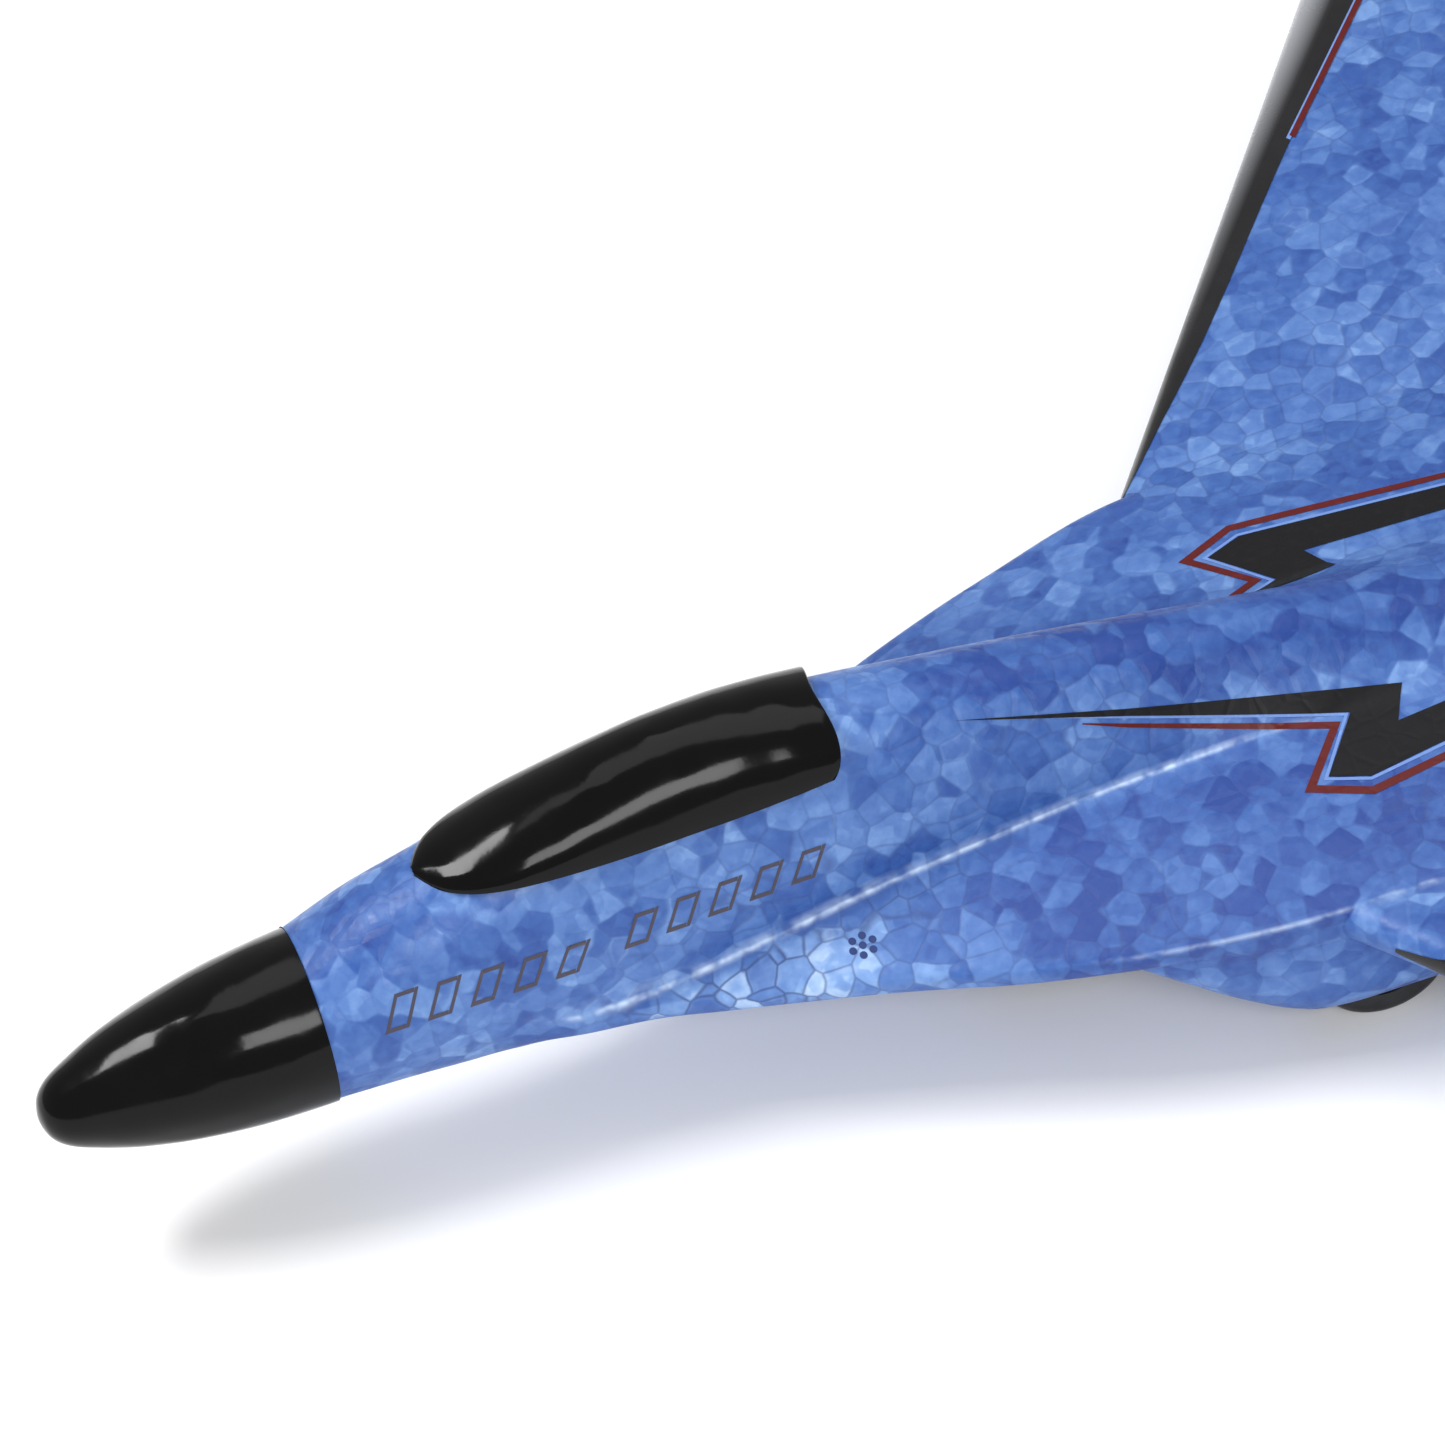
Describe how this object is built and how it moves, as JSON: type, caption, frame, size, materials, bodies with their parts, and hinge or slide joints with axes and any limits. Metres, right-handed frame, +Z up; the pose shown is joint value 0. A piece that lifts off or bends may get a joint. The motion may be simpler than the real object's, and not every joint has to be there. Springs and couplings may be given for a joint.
{
  "type": "foam jet-style model aeroplane",
  "caption": "Bead-foam jet-style radio-controlled plane with swept wings, black nose and canopy, fins, tailplanes, wheels and pusher propellers.",
  "frame": {"origin": "centre of the bounding box in plan, on the surface the plane stands on with its two wheels and the rear of its nacelles", "axes": "+X from nose to tail, +Y to the right wing (starboard), +Z up"},
  "size_m": [0.3449, 0.3, 0.0731],
  "materials": {
    "blue_foam": "moulded bead foam with a skin of pressed cells",
    "black_gloss": "glossy black moulding",
    "black_tape": "black printed film",
    "black_plastic": "satin black moulding",
    "white_plastic": "natural nylon",
    "propeller_plastic": "flexible black moulding",
    "tyre_rubber": "soft black rubber",
    "carbon_rod": "pultruded carbon",
    "steel": "bright steel",
    "motor_steel": "drawn steel can",
    "magnet": "nickel plated",
    "copper_winding": "enamelled copper",
    "circuit_board": "green solder mask",
    "chip_plastic": "moulded black",
    "battery_wrap": "silver pouch foil",
    "clear_lens": "tinted clear",
    "wire_cover": "silicone cover"
  },
  "bodies": {
    "airframe": {"antenna_wire": "wire_cover", "axle_left": "steel", "axle_right": "steel", "battery_cell": "battery_wrap", "battery_plug": "white_plastic", "battery_socket": "white_plastic", "belly_cover": "black_plastic", "board_chips": "chip_plastic", "canopy": "black_gloss", "charge_socket": "black_plastic", "circuit_board": "circuit_board", "cover_screws": "steel", "door_hinge_pin": "steel", "edge_tape_left": "black_tape", "edge_tape_right": "black_tape", "electronics_tray": "black_plastic", "fin_left": "blue_foam", "fin_right": "blue_foam", "foam_body": "blue_foam", "motor_can_left": "motor_steel", "motor_can_right": "motor_steel", "motor_end_cap_left": "white_plastic", "motor_end_cap_right": "white_plastic", "motor_lead_left": "wire_cover", "motor_lead_right": "wire_cover", "motor_magnet_left": "magnet", "motor_magnet_right": "magnet", "motor_mount_left": "black_plastic", "motor_mount_right": "black_plastic", "nose_cone": "black_gloss", "status_lamp": "clear_lens", "switch_body": "black_plastic", "tailplane_left": "blue_foam", "tailplane_right": "blue_foam", "wheel_box_left": "black_plastic", "wheel_box_right": "black_plastic", "wing_spar": "carbon_rod"},
    "propeller_left": {"propeller_left": "propeller_plastic", "motor_shaft_left": "steel", "motor_rotor_left": "copper_winding"},
    "wheel_left": {"wheel_hub_left": "black_plastic", "tyre_left": "tyre_rubber"},
    "propeller_right": {"propeller_right": "propeller_plastic", "motor_shaft_right": "steel", "motor_rotor_right": "copper_winding"},
    "wheel_right": {"wheel_hub_right": "black_plastic", "tyre_right": "tyre_rubber"},
    "battery_door": {"battery_door": "black_plastic"},
    "power_switch": {"switch_knob": "black_plastic"}
  },
  "joints": [
    {"name": "propeller_left_spin", "type": "hinge", "parent": "airframe", "child": "propeller_left", "pos_m": [0.109, -0.062, 0.0261], "axis": [1, 0, 0], "continuous": true},
    {"name": "wheel_left_roll", "type": "hinge", "parent": "airframe", "child": "wheel_left", "pos_m": [-0.005, -0.0335, 0.0091], "axis": [0, 1, 0], "continuous": true},
    {"name": "propeller_right_spin", "type": "hinge", "parent": "airframe", "child": "propeller_right", "pos_m": [0.109, 0.062, 0.0261], "axis": [1, 0, 0], "continuous": true},
    {"name": "wheel_right_roll", "type": "hinge", "parent": "airframe", "child": "wheel_right", "pos_m": [-0.005, 0.0335, 0.0091], "axis": [0, 1, 0], "continuous": true},
    {"name": "battery_door_hinge", "type": "hinge", "parent": "airframe", "child": "battery_door", "pos_m": [-0.0167, 0, 0.0079], "axis": [0, 1, 0], "range_deg": [0, 90]},
    {"name": "power_switch_slide", "type": "slide", "parent": "airframe", "child": "power_switch", "axis": [1, 0, 0], "range_m": [0, 0.0025]}
  ]
}
